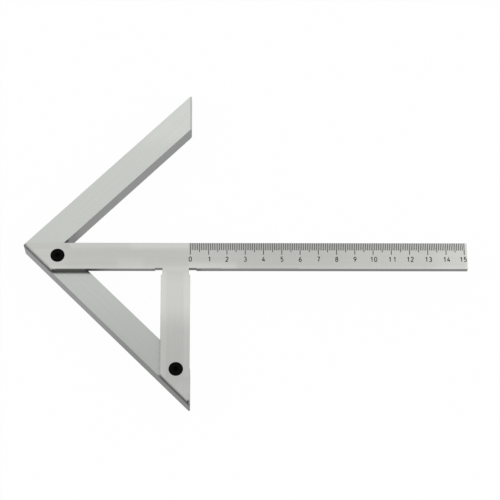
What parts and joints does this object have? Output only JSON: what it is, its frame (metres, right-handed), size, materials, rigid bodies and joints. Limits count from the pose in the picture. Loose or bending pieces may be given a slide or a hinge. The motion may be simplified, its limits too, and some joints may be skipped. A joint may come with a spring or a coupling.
{
  "type": "centre square",
  "caption": "Steel centre square: a V-shaped stock seats on round work, and a graduated T-shaped plate across it marks lines through the centre.",
  "frame": {"origin": "the V's inner corner, where round work seats, on the stock's back face", "axes": "+X along the graduated edge towards its highest number, which is also the line that halves the V; +Y towards the upper arm; +Z out of the graduated face"},
  "size_m": [0.243, 0.1822, 0.0155],
  "materials": {
    "stock_steel": "ground, satin",
    "plate_steel": "fine ground, satin, with black-filled divisions",
    "black_screw": "black oxide, satin"
  },
  "bodies": {
    "root": {"v_stock": "stock_steel", "t_plate": "plate_steel", "apex_screw": "black_screw", "leg_screw": "black_screw"}
  },
  "joints": []
}
